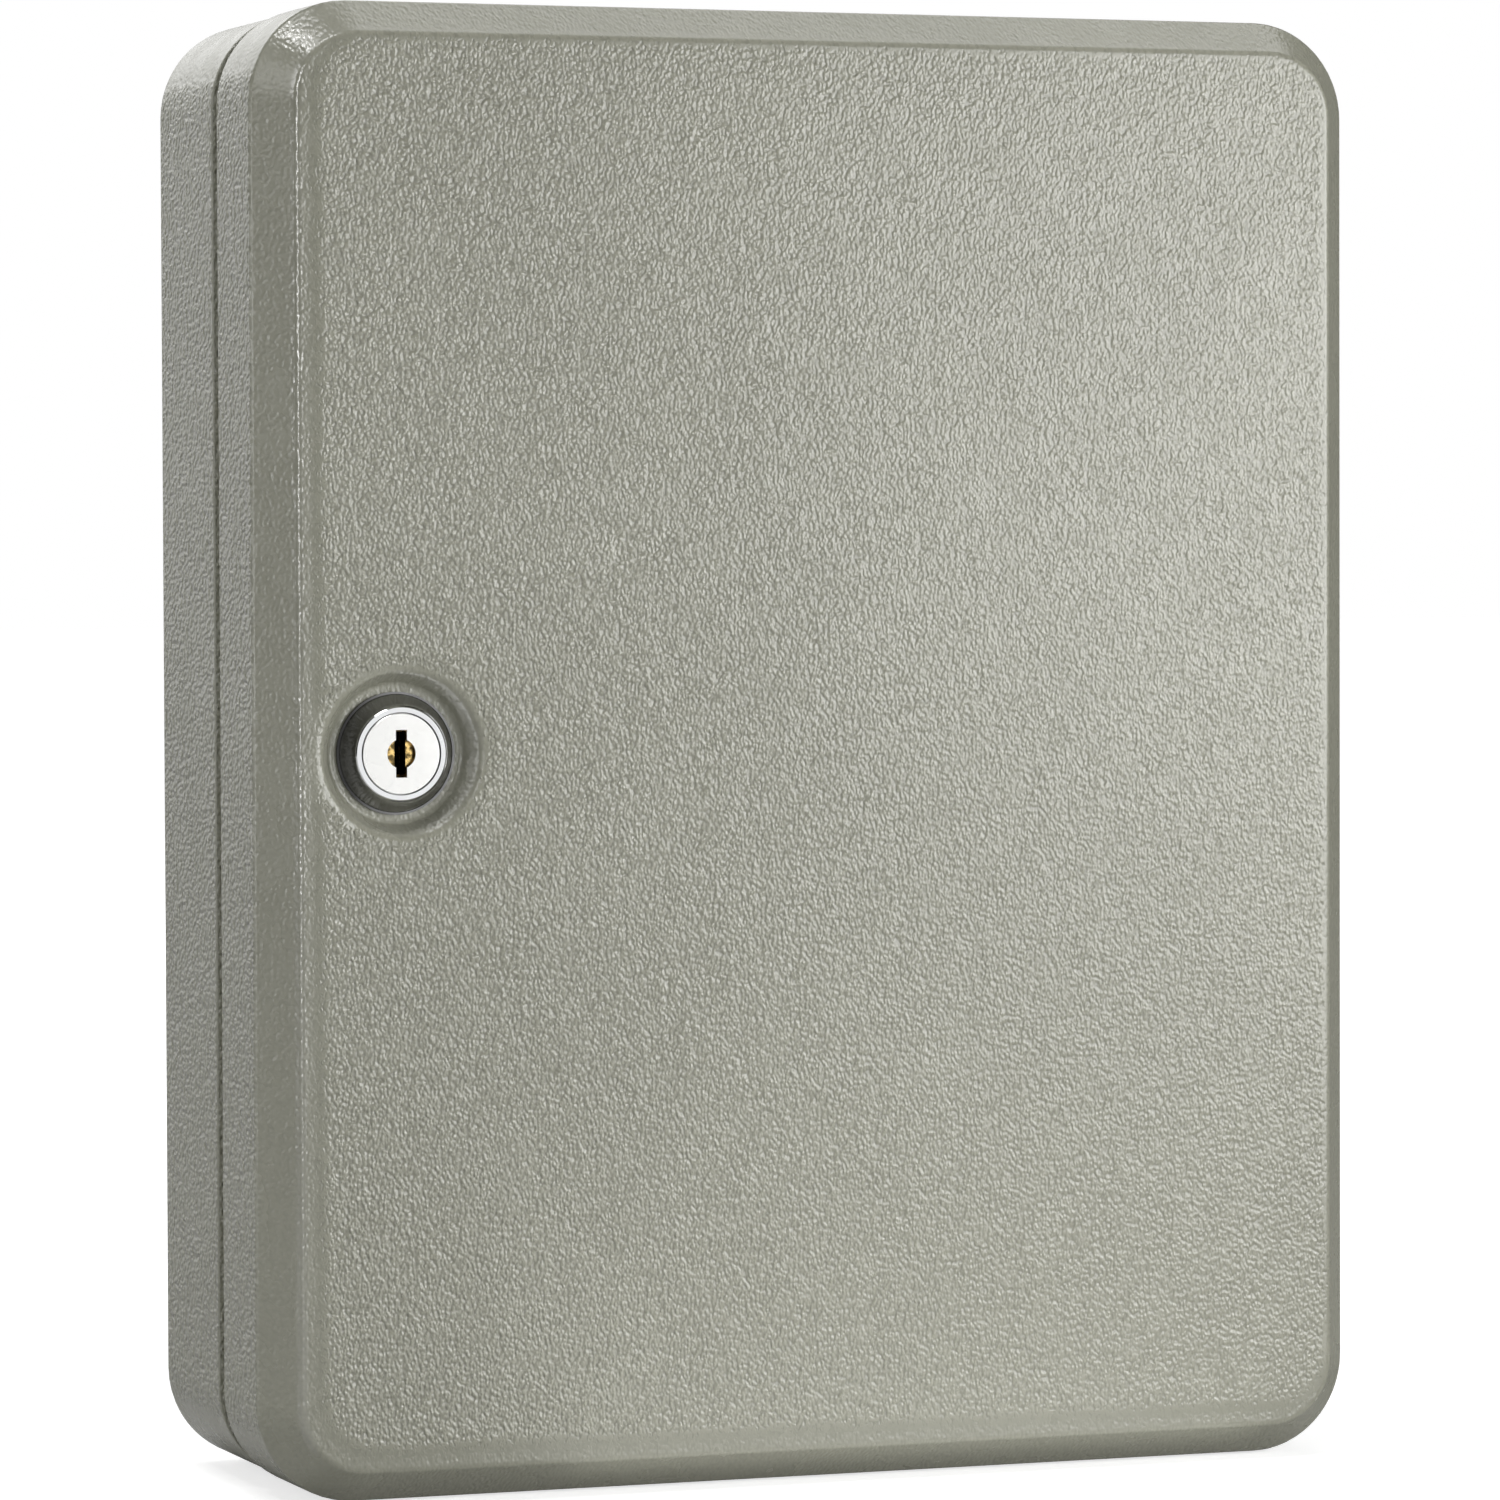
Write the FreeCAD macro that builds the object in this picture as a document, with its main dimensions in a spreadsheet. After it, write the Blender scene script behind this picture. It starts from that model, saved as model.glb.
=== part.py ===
"""Wall-mounted steel key cabinet with a cam lock on the left and a piano hinge on the right.

Frame, in millimetres: X to the right seen from the front, Y into the wall, Z up. The origin is
the centre of the back face, in the wall plane. "Out" is a distance from the wall, so Y = -out.
At rest the door is closed, the lock is turned to unlocked and its wafers are drawn in flush.
"""
import FreeCAD, Part
import math
import os
import re
import Sketcher
from FreeCAD import Placement, Rotation, Vector

SIZES = {
    # Outside of the closed cabinet
    "cabinet_width": 238.0,
    "cabinet_height": 300.0,
    "cabinet_depth": 80.0,
    "corner_radius": 20.0,
    # Door shell: a pressed pan with a bevelled front
    "door_sheet": 1.2,
    "bevel_run": 6.9,
    "bevel_rise": 9.0,
    "crease_radius": 1.5,
    "rim_round": 0.4,
    # Body shell: a pan that is a little smaller than the door all round
    "body_sheet": 1.2,
    "body_inset": 0.45,
    "back_radius": 3.0,
    "wall_hole": 7.0,
    "wall_holes_across": 170.0,
    "wall_holes_up": 200.0,
    # Front frame: a collar inside the seam, with a lip that the cam catches behind
    "frame_sheet": 1.0,
    "frame_rear_out": 36.0,
    "frame_front_out": 52.0,
    "frame_lip": 8.0,
    "frame_lip_radius": 6.0,
    "frame_hinge_gap": 1.2,
    # Piano hinge: its knuckles fill the seam between body and door on the right
    "pin_across": 118.65,
    "pin_out": 44.0,
    "pin_diameter": 2.5,
    "pin_end_round": 0.6,
    "pin_fit": 0.05,
    "knuckle_radius": 2.3,
    "knuckle_length": 19.0,
    "knuckle_count": 13.0,
    "knuckle_gap": 0.3,
    "knuckle_room": 0.3,
    "leaf_sheet": 1.0,
    "leaf_width": 12.0,
    "door_leaf_offset": 0.85,
    # Lock position, and the dish pressed into the door round it
    "lock_across": 90.8,
    "dish_depth": 5.4,
    "dish_floor_radius": 14.1,
    "dish_mouth_radius": 16.6,
    "dish_lip_round": 2.2,
    "dish_floor_round": 1.2,
    # Lock housing, double-D barrel through the dish floor
    "barrel_radius": 9.5,
    "barrel_flat": 8.1,
    "barrel_end_out": 51.6,
    "barrel_fit": 0.1,
    "thread_pitch": 1.0,
    "thread_depth": 0.45,
    "thread_cutter": 0.8,
    "head_radius": 11.4,
    "head_thick": 0.7,
    "neck_radius": 8.8,
    "neck_out": 78.6,
    "cup_radius": 8.3,
    "seat_out": 77.0,
    "stop_post_root": 0.75,
    "stop_post_height": 1.5,
    "stop_post_width": 2.6,
    "stop_post_room": 0.18,
    # Chrome bezel
    "bezel_radius": 12.3,
    "bezel_rim": 0.7,
    "bezel_step": 0.45,
    "bezel_face_radius": 9.4,
    "bezel_face_out": 79.1,
    "bezel_edge": 0.35,
    "bezel_hollow_radius": 6.0,
    # Nut behind the dish floor
    "nut_across_flats": 22.0,
    "nut_thick": 3.5,
    "nut_fit": 0.05,
    "nut_edge": 0.3,
    # Lock plug
    "plug_face_radius": 8.1,
    "plug_radius": 6.5,
    "plug_fit": 0.05,
    "plug_edge": 0.15,
    "plug_end_out": 51.4,
    "tail_side": 7.0,
    "tail_end_out": 48.8,
    "keyway_width": 2.3,
    "keyway_height": 9.5,
    "keyway_end_out": 57.6,
    "key_guide_radius": 2.95,
    "key_guide_depth": 1.1,
    # Wafers and their springs
    "wafer_count": 4.0,
    "wafer_pitch": 4.4,
    "wafer_first_out": 74.2,
    "wafer_thick": 1.2,
    "wafer_width": 7.0,
    "wafer_radius": 6.42,
    "wafer_travel": 0.6,
    "wafer_fit": 0.06,
    "wafer_window_width": 3.0,
    "wafer_window_height": 8.6,
    "wafer_ear": 5.55,
    "wafer_ear_low": 1.2,
    "wafer_ear_thick": 1.0,
    "spring_at": 4.6,
    "spring_radius": 0.58,
    "spring_wire": 0.24,
    "spring_turns": 5.0,
    "spring_foot": 2.3,
    "spring_bore": 0.85,
    # Cam, its stop washer and its fixing
    "stop_washer_thick": 0.8,
    "stop_washer_radius": 9.3,
    "stop_slack": 0.15,
    "square_fit": 0.05,
    "cam_thick": 2.0,
    "cam_hub_radius": 8.0,
    "cam_width": 12.0,
    "cam_reach": 23.0,
    "cam_tip_round": 3.0,
    "spring_washer_thick": 0.7,
    "spring_washer_radius": 3.6,
    "screw_radius": 2.0,
    "screw_length": 8.6,
    "screw_head_radius": 4.0,
    "screw_head_thick": 2.5,
    "screw_head_round": 1.25,
    "screw_point": 0.5,
    "screw_fit": 0.05,
    "recess_length": 4.0,
    "recess_width": 1.0,
    "recess_depth": 1.5,
    # Slotted standards that the key rails hook into
    "standard_across": 97.0,
    "standard_width": 12.0,
    "standard_depth": 5.0,
    "standard_sheet": 1.0,
    "standard_height": 270.0,
    "slot_width": 1.8,
    "slot_height": 9.2,
    "slot_pitch": 20.0,
    "slot_count": 13.0,
    # Key rails: a folded strip with eight hooks
    "rail_width": 202.0,
    "rail_height": 16.0,
    "rail_sheet": 1.2,
    "rail_gap": 0.1,
    "rail_pitch": 40.0,
    "top_rail_up": 120.0,
    "tab_neck": 5.0,
    "tab_drop": 3.5,
    "hook_count": 8.0,
    "hook_pitch": 24.0,
    "hook_width": 4.0,
    "hook_reach": 11.7,
    "hook_rise": 7.0,
    "hook_bend": 2.0,
    "card_width": 196.0,
    "card_height": 7.0,
    "card_thick": 0.3,
    "card_up": 0.5,
}
BODY_EDGE_OUT = "pin_out - knuckle_radius - knuckle_room"
DOOR_EDGE_OUT = "pin_out + knuckle_radius + knuckle_room"
RAIL_COUNT = 6
HEX_SIDES = 6
SAME_LEVEL = 0.01
BOUND_SETTINGS = ("Length", "Radius", "Size", "Size2", "Value", "Offset", "Height", "Turns")

doc = FreeCAD.newDocument("key_cabinet")
sheet = doc.addObject("Spreadsheet::Sheet", "Sizes")
sub_parts = []


def fill_sheet():
    """Put each driving size in its own cell, under its own name."""
    for row, (alias, number) in enumerate(SIZES.items(), 1):
        sheet.set(f"A{row}", alias)
        sheet.set(f"B{row}", str(number))
        sheet.setAlias(f"B{row}", alias)
    doc.recompute()


def cells(text):
    """A size's formula with each name turned into its cell of the sheet."""
    return re.sub(r"[a-z_]+", lambda word: f"Sizes.{word[0]}" if word[0] in SIZES else word[0], text)


def value(text):
    """The number that a size's formula comes to."""
    return float(sheet.evalExpression(cells(text)))


def bind(item, prop, text):
    """Tie a property to a formula of sizes."""
    item.setExpression(prop, cells(text))


def place(item, across="0", out="0", up="0", turned=0):
    """Place a sub-part in the cabinet, turned by an angle about its own Y axis."""
    item.Placement = Placement(Vector(), Rotation(Vector(0, 1, 0), turned))
    bind(item, "Placement.Base.x", across)
    bind(item, "Placement.Base.y", f"-({out})")
    bind(item, "Placement.Base.z", up)


class SubPart:
    """A body whose sketches and features follow the sheet."""

    def __init__(self, label, across="0", out="0", up="0", turned=0):
        self.body = doc.addObject("PartDesign::Body", label)
        self.body.Label = label
        place(self.body, across, out, up, turned)
        sub_parts.append(self.body)

    def origin(self, role):
        """One of the body's own origin planes or axes."""
        return next(item for item in self.body.Origin.OriginFeatures if item.Role == role)

    def sketch(self, plane, offset="0", shift="0"):
        """An empty sketch on an origin plane, moved along the plane's normal and its own x."""
        sketch = self.body.newObject("Sketcher::SketchObject", "Sketch")
        sketch.AttachmentSupport = [(self.origin(plane), "")]
        sketch.MapMode = "FlatFace"
        bind(sketch, "AttachmentOffset.Base.z", offset)
        bind(sketch, "AttachmentOffset.Base.x", shift)
        return sketch

    def feature(self, kind, **settings):
        """Add a feature; text sizes are bound to the sheet, other settings are set as they are."""
        before = self.body.Shape.Volume if self.body.Tip else 0.0
        feature = self.body.newObject(f"PartDesign::{kind}", kind)
        for prop, setting in settings.items():
            if prop in BOUND_SETTINGS:
                bind(feature, prop, setting)
            else:
                setattr(feature, prop, setting)
        self.body.Tip = feature
        doc.recompute()
        if abs(self.body.Shape.Volume - before) < SAME_LEVEL ** 2:
            raise ValueError(f"{self.body.Label}: {feature.Name} changes nothing")
        return feature

    def pad(self, sketch, length, **settings):
        return self.feature("Pad", Profile=sketch, Length=length, **settings)

    def pocket(self, sketch, length, **settings):
        return self.feature("Pocket", Profile=sketch, Length=length, **settings)

    def revolve(self, sketch, kind="Revolution"):
        """Turn a sketch about its own vertical axis, added or (as a Groove) cut away."""
        return self.feature(kind, Profile=sketch, ReferenceAxis=(sketch, ["V_Axis"]), Angle=360.0)

    def dress(self, kind, names, **settings):
        """A fillet, chamfer or thickness on named edges or faces of the present shape."""
        return self.feature(kind, Base=(self.body.Tip, names), **settings)

    def repeat(self, features, axis, count, pitch, **settings):
        """Repeat features along an origin axis."""
        return self.feature(
            "LinearPattern",
            Originals=features,
            Direction=(self.origin(axis), [""]),
            Mode="Spacing",
            Offset=pitch,
            Occurrences=int(value(count)),
            **settings,
        )

    def edges(self, test):
        """Names of the edges of the present shape that pass a test."""
        return [f"Edge{n}" for n, edge in enumerate(self.body.Tip.Shape.Edges, 1) if test(edge)]

    def faces(self, test):
        """Names of the faces of the present shape that pass a test."""
        return [f"Face{n}" for n, face in enumerate(self.body.Tip.Shape.Faces, 1) if test(face)]


def lies_at(axis, level):
    """A test for edges or faces that lie wholly at one level along an axis."""

    def test(item):
        low = getattr(item.BoundBox, f"{axis}Min")
        high = getattr(item.BoundBox, f"{axis}Max")
        return abs(low - level) < SAME_LEVEL and abs(high - level) < SAME_LEVEL

    return test


def runs_along(axis):
    """A test for straight edges that run along an axis."""

    def test(edge):
        length = getattr(edge.BoundBox, f"{axis}Length")
        return edge.Curve.TypeId == "Part::GeomLine" and abs(length - edge.Length) < SAME_LEVEL

    return test


def is_circle(radius):
    """A test for circular edges of one radius."""

    def test(edge):
        return edge.Curve.TypeId == "Part::GeomCircle" and abs(edge.Curve.Radius - radius) < SAME_LEVEL

    return test


def arc_between(start, end, radius):
    """The arc from start to end; it bulges to the right of that line for a positive radius."""
    chord = end - start
    rise = math.sqrt(radius**2 - (chord.Length / 2) ** 2)
    right = Vector(chord.y, -chord.x, 0).normalize() * math.copysign(1, radius)
    centre = (start + end) / 2 - right * rise
    ends = (start, end) if radius > 0 else (end, start)
    first, last = (math.atan2(point.y - centre.y, point.x - centre.x) for point in ends)
    circle = Part.Circle(centre, Vector(0, 0, 1), abs(radius))
    return Part.ArcOfCircle(circle, first, last)


def outline(sketch, points, arcs=None):
    """A closed outline through points given as formulas.

    arcs maps a point's number to the radius formula of the arc that leaves it. On an outline
    that runs anticlockwise a positive radius bulges outwards.
    """
    arcs = arcs or {}
    corners = [Vector(value(x), value(y), 0) for x, y in points]
    sides = []
    for number, start in enumerate(corners):
        end = corners[(number + 1) % len(corners)]
        if number in arcs:
            radius = value(arcs[number])
            index = sketch.addGeometry(arc_between(start, end, radius))
            sides.append((index, 1, 2) if radius > 0 else (index, 2, 1))
            if radius > 0:
                fixed = sketch.addConstraint(Sketcher.Constraint("Radius", index, radius))
                bind(sketch, f"Constraints[{fixed}]", arcs[number])
            else:
                fixed = sketch.addConstraint(Sketcher.Constraint("Radius", index, -radius))
                bind(sketch, f"Constraints[{fixed}]", f"-({arcs[number]})")
        else:
            sides.append((sketch.addGeometry(Part.LineSegment(start, end)), 1, 2))
    for (index, first, _), (before, _, last), (x, y), corner in zip(
        sides, sides[-1:] + sides[:-1], points, corners
    ):
        sketch.addConstraint(Sketcher.Constraint("Coincident", before, last, index, first))
        for kind, formula, number in (("DistanceX", x, corner.x), ("DistanceY", y, corner.y)):
            fixed = sketch.addConstraint(Sketcher.Constraint(kind, -1, 1, index, first, number))
            bind(sketch, f"Constraints[{fixed}]", formula)
    return sketch


def rectangle(sketch, left, right, low, high):
    return outline(sketch, [(left, low), (right, low), (right, high), (left, high)])


def circle(sketch, radius, x="0", y="0"):
    """A circle with its centre at a point given as formulas."""
    centre = Vector(value(x), value(y), 0)
    index = sketch.addGeometry(Part.Circle(centre, Vector(0, 0, 1), value(radius)))
    for kind, formula, number in (("DistanceX", x, centre.x), ("DistanceY", y, centre.y)):
        fixed = sketch.addConstraint(Sketcher.Constraint(kind, -1, 1, index, 3, number))
        bind(sketch, f"Constraints[{fixed}]", formula)
    fixed = sketch.addConstraint(Sketcher.Constraint("Radius", index, value(radius)))
    bind(sketch, f"Constraints[{fixed}]", radius)
    return sketch


def double_d(sketch, radius, flat):
    """A circle cut by two upright flats, each at a distance from the centre."""
    top = f"sqrt(({radius})^2 - ({flat})^2)"
    points = [(flat, f"-{top}"), (flat, top), (f"-({flat})", top), (f"-({flat})", f"-{top}")]
    return outline(sketch, points, {1: radius, 3: radius})


def pan(part, half_width, half_height, radius, rear_out, front_out):
    """A block with rounded corners between two distances from the wall."""
    sketch = rectangle(
        part.sketch("XZ_Plane", rear_out),
        f"-({half_width})",
        half_width,
        f"-({half_height})",
        half_height,
    )
    part.pad(sketch, f"{front_out} - ({rear_out})")
    part.dress("Fillet", part.edges(runs_along("Y")), Radius=radius)


def outer_rim(part, rim_out):
    """The edges round the outside of a hollow pan's open rim."""
    shape = part.body.Tip.Shape
    rim = next(face for face in shape.Faces if lies_at("Y", -value(rim_out))(face))
    return part.edges(lambda edge: any(edge.isSame(side) for side in rim.OuterWire.Edges))


def door_shell():
    """The door: a pan with a bevelled front, and a dish with a hole for the lock."""
    part = SubPart("door_shell")
    pan(part, "cabinet_width/2", "cabinet_height/2", "corner_radius", DOOR_EDGE_OUT, "cabinet_depth")
    front = lies_at("Y", -value("cabinet_depth"))
    part.dress(
        "Chamfer",
        part.edges(front),
        ChamferType="Two distances",
        Size="bevel_rise",
        Size2="bevel_run",
    )
    part.dress("Fillet", part.edges(front), Radius="crease_radius")
    rear = part.faces(lies_at("Y", -value(DOOR_EDGE_OUT)))
    part.dress("Thickness", rear, Value="door_sheet", Reversed=True, Mode="Skin", Join="Arc")
    shoulder = lies_at("Y", value("bevel_rise - cabinet_depth"))
    part.dress("Fillet", part.edges(shoulder), Radius="crease_radius")
    part.dress("Fillet", outer_rim(part, DOOR_EDGE_OUT), Radius="rim_round")
    lock_dish(part)


def lock_dish(part):
    """The dish round the lock, pressed back from the door's front sheet, with a double-D hole."""
    floor_out = "cabinet_depth - dish_depth"
    back = outline(
        part.sketch("XY_Plane", shift="-lock_across"),
        [
            ("0", "-(cabinet_depth - door_sheet/2)"),
            ("dish_mouth_radius + 2*door_sheet", "-(cabinet_depth - door_sheet/2)"),
            ("dish_floor_radius + door_sheet", f"-({floor_out} - door_sheet)"),
            ("0", f"-({floor_out} - door_sheet)"),
        ],
    )
    part.revolve(back)
    rear_rim = part.edges(lies_at("Y", -value(f"{floor_out} - door_sheet")))
    part.dress("Fillet", rear_rim, Radius="dish_floor_round + door_sheet")
    front = outline(
        part.sketch("XY_Plane", shift="-lock_across"),
        [
            ("0", "-(cabinet_depth + door_sheet)"),
            ("dish_mouth_radius", "-(cabinet_depth + door_sheet)"),
            ("dish_mouth_radius", "-cabinet_depth"),
            ("dish_floor_radius", f"-({floor_out})"),
            ("0", f"-({floor_out})"),
        ],
    )
    part.revolve(front, "Groove")
    at_front = lies_at("Y", -value("cabinet_depth"))
    at_mouth = is_circle(value("dish_mouth_radius"))
    mouth = part.edges(lambda edge: at_front(edge) and at_mouth(edge))
    part.dress("Fillet", mouth, Radius="dish_lip_round")
    part.dress("Fillet", part.edges(lies_at("Y", -value(floor_out))), Radius="dish_floor_round")
    hole = part.sketch("XZ_Plane", "cabinet_depth", "-lock_across")
    double_d(hole, "barrel_radius + barrel_fit", "barrel_flat + barrel_fit")
    part.pocket(hole, "dish_depth + 2*door_sheet")


def body_shell():
    """The cabinet body: a pan with a rounded back and four wall holes."""
    part = SubPart("body_shell")
    half_width = "cabinet_width/2 - body_inset"
    half_height = "cabinet_height/2 - body_inset"
    pan(part, half_width, half_height, "corner_radius - body_inset", "0", BODY_EDGE_OUT)
    part.dress("Fillet", part.edges(lies_at("Y", 0)), Radius="back_radius")
    mouth = part.faces(lies_at("Y", -value(BODY_EDGE_OUT)))
    part.dress("Thickness", mouth, Value="body_sheet", Reversed=True, Mode="Skin", Join="Arc")
    part.dress("Fillet", outer_rim(part, BODY_EDGE_OUT), Radius="rim_round")
    holes = part.sketch("XZ_Plane", "2*body_sheet")
    for side in "-", "":
        for level in "-", "":
            circle(holes, "wall_hole/2", f"{side}wall_holes_across/2", f"{level}wall_holes_up/2")
    part.pocket(holes, "3*body_sheet")


def front_frame():
    """The collar welded inside the body's mouth, with a lip turned inwards all round."""
    part = SubPart("front_frame", across="-frame_hinge_gap/2")
    half_width = "cabinet_width/2 - body_inset - body_sheet - frame_hinge_gap/2"
    half_height = "cabinet_height/2 - body_inset - body_sheet"
    radius = "corner_radius - body_inset - body_sheet"
    pan(part, half_width, half_height, radius, "frame_rear_out", "frame_front_out")
    rear = part.faces(lies_at("Y", -value("frame_rear_out")))
    part.dress("Thickness", rear, Value="frame_sheet", Reversed=True, Mode="Skin", Join="Arc")
    lip = "frame_sheet + frame_lip"
    opening = rectangle(
        part.sketch("XZ_Plane", "frame_front_out"),
        f"{lip} - ({half_width})",
        f"{half_width} - ({lip})",
        f"{lip} - ({half_height})",
        f"{half_height} - ({lip})",
    )
    part.pocket(opening, "2*frame_sheet")
    corners = part.edges(
        lambda edge: runs_along("Y")(edge) and abs(edge.Length - value("frame_sheet")) < SAME_LEVEL
    )
    part.dress("Fillet", corners, Radius="frame_lip_radius")


def hinge_leaf(label, left, right, rear, front, first_window, windows):
    """Half of the piano hinge, drawn about its pin: a plate with every other knuckle."""
    part = SubPart(label, across="pin_across", out="pin_out")
    hinge_length = "knuckle_count*knuckle_length - knuckle_gap"
    part.pad(circle(part.sketch("XY_Plane"), "knuckle_radius"), hinge_length, SideType="Symmetric")
    plate = rectangle(part.sketch("XY_Plane"), left, right, rear, front)
    part.pad(plate, hinge_length, SideType="Symmetric")
    bore = circle(part.sketch("XY_Plane"), "pin_diameter/2 + pin_fit")
    part.pocket(bore, f"{hinge_length} + 2*knuckle_gap", SideType="Symmetric")
    start = f"(-knuckle_count/2 + {first_window})*knuckle_length - knuckle_gap/2"
    room = "knuckle_radius + knuckle_room"
    window = rectangle(part.sketch("XY_Plane", start), f"-({room})", room, f"-({room})", room)
    cut = part.pocket(window, "knuckle_length + knuckle_gap", Reversed=True)
    part.repeat([cut], "Z_Axis", windows, "2*knuckle_length")


def hinge():
    """Both hinge leaves and the pin through their knuckles."""
    hinge_leaf(
        "hinge_leaf_body",
        "-knuckle_radius",
        "leaf_sheet - knuckle_radius",
        "0",
        "leaf_width",
        first_window=1,
        windows="(knuckle_count - 1)/2",
    )
    hinge_leaf(
        "hinge_leaf_door",
        "-(door_leaf_offset + leaf_sheet)",
        "-door_leaf_offset",
        "-leaf_width",
        "0",
        first_window=0,
        windows="(knuckle_count + 1)/2",
    )
    pin = SubPart("hinge_pin", across="pin_across", out="pin_out")
    pin.pad(
        circle(pin.sketch("XY_Plane"), "pin_diameter/2"),
        "knuckle_count*knuckle_length + knuckle_gap",
        SideType="Symmetric",
    )
    ends = pin.edges(lambda edge: edge.BoundBox.ZLength < SAME_LEVEL)
    pin.dress("Fillet", ends, Radius="pin_end_round")


def lock_part(label):
    """A sub-part drawn about the lock's axis."""
    return SubPart(label, across="-lock_across")


def lock_housing():
    """The lock's housing: head in the dish, double-D barrel, bore, wafer grooves and a stop post."""
    part = lock_part("lock_housing")
    floor_out = "cabinet_depth - dish_depth"
    profile = outline(
        part.sketch("XY_Plane"),
        [
            ("plug_radius + plug_fit", "-barrel_end_out"),
            ("plug_radius + plug_fit", "-seat_out"),
            ("cup_radius", "-seat_out"),
            ("cup_radius", "-neck_out"),
            ("neck_radius", "-neck_out"),
            ("neck_radius", f"-({floor_out} + head_thick)"),
            ("head_radius", f"-({floor_out} + head_thick)"),
            ("head_radius", f"-({floor_out})"),
            ("barrel_radius", f"-({floor_out})"),
            ("barrel_radius", "-barrel_end_out"),
        ],
    )
    part.revolve(profile)
    thread = outline(
        part.sketch("XY_Plane"),
        [
            ("barrel_radius - thread_depth", "-(barrel_end_out + thread_pitch)"),
            ("barrel_radius + thread_depth", "-(barrel_end_out + thread_pitch + thread_cutter)"),
            ("barrel_radius + thread_depth", "-(barrel_end_out + thread_pitch - thread_cutter)"),
        ],
    )
    groove = part.revolve(thread, "Groove")
    threaded = f"{floor_out} - door_sheet - nut_thick - barrel_end_out"
    part.repeat([groove], "Y_Axis", f"{threaded}/thread_pitch", "thread_pitch", Reversed=True)
    for side in "-", "":
        flat = rectangle(
            part.sketch("XZ_Plane", "barrel_end_out - head_thick"),
            f"{side}barrel_flat",
            f"{side}(barrel_radius + head_thick)",
            "-head_radius",
            "head_radius",
        )
        part.pocket(flat, f"{floor_out} - barrel_end_out + head_thick", Reversed=True)
    broach = "wafer_radius + wafer_travel + wafer_fit"
    half_width = "wafer_width/2 + 2*wafer_fit"
    for wide, high in ((half_width, broach), (broach, half_width)):
        slot = rectangle(
            part.sketch("XZ_Plane", "barrel_end_out"), f"-({wide})", wide, f"-({high})", high
        )
        part.pocket(slot, "wafer_first_out + wafer_thick - barrel_end_out", Reversed=True)
    post = rectangle(
        part.sketch("XZ_Plane", "barrel_end_out + stop_post_root - stop_post_height"),
        "-stop_post_width/2",
        "stop_post_width/2",
        "plug_radius + wafer_travel + stop_post_room",
        "barrel_radius - thread_depth",
    )
    part.pad(post, "stop_post_height")


def lock_bezel():
    """The chrome ring over the housing's head, with a hollow side and a flat face."""
    part = lock_part("lock_bezel")
    floor_out = "cabinet_depth - dish_depth"
    inner = "neck_radius + plug_fit"
    head = f"{floor_out} + head_thick + plug_fit"
    profile = outline(
        part.sketch("XY_Plane"),
        [
            ("bezel_radius", f"-({floor_out})"),
            ("head_radius + plug_fit", f"-({floor_out})"),
            ("head_radius + plug_fit", f"-({head})"),
            (inner, f"-({head})"),
            (inner, "-(neck_out + plug_fit)"),
            ("cup_radius", "-(neck_out + plug_fit)"),
            ("cup_radius", "-bezel_face_out"),
            ("bezel_face_radius - bezel_edge/2", "-bezel_face_out"),
            ("bezel_face_radius", "bezel_edge/2 - bezel_face_out"),
            ("bezel_radius - bezel_step - bezel_edge", f"-({floor_out} + bezel_rim + bezel_step)"),
            ("bezel_radius - bezel_step", f"-({floor_out} + bezel_rim)"),
            ("bezel_radius", f"-({floor_out} + bezel_rim)"),
        ],
        {8: "-bezel_hollow_radius"},
    )
    part.revolve(profile)


def lock_nut():
    """The hexagon nut that holds the housing to the dish floor."""
    part = lock_part("lock_nut")
    step = 360 / HEX_SIDES
    reach = f"nut_across_flats/2/cos({step / 2})"
    corners = [(f"{reach}*cos({step * n})", f"{reach}*sin({step * n})") for n in range(HEX_SIDES)]
    floor_rear = "cabinet_depth - dish_depth - door_sheet"
    part.pad(outline(part.sketch("XZ_Plane", f"{floor_rear} - nut_thick"), corners), "nut_thick")
    bore = circle(part.sketch("XZ_Plane", floor_rear), "barrel_radius + nut_fit")
    part.pocket(bore, "nut_thick")
    rims = part.edges(lambda edge: edge.BoundBox.YLength < SAME_LEVEL)
    part.dress("Chamfer", rims, Size="nut_edge")


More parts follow.
